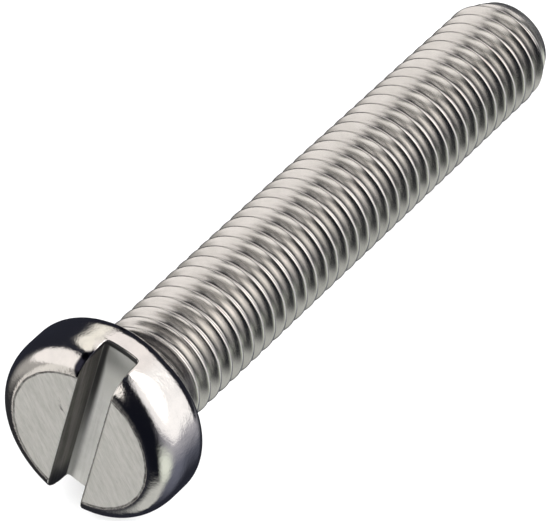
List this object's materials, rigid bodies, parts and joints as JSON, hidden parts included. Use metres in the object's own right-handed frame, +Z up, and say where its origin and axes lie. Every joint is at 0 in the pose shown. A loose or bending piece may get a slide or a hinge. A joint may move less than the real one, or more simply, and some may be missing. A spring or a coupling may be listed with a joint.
{
  "type": "cheese head screw",
  "caption": "Slotted cheese head machine screw with a rounded shoulder, a fully threaded shank and a chamfered tip, in plain stainless steel.",
  "frame": {"origin": "middle of the screw's footprint, on the ground it lies on", "axes": "+X runs along the screw from head to tip, +Z is up; the thread axis lies in the XZ plane and dips 3.4 degrees below +X, because the head is wider than the thread, and the slot stands 12.8 degrees from upright"},
  "size_m": [0.0334, 0.0084, 0.0085],
  "materials": {
    "steel": "bright stainless steel: polished shoulder, turned top, satin rolled thread"
  },
  "bodies": {
    "root": {"screw": "steel"}
  },
  "joints": []
}
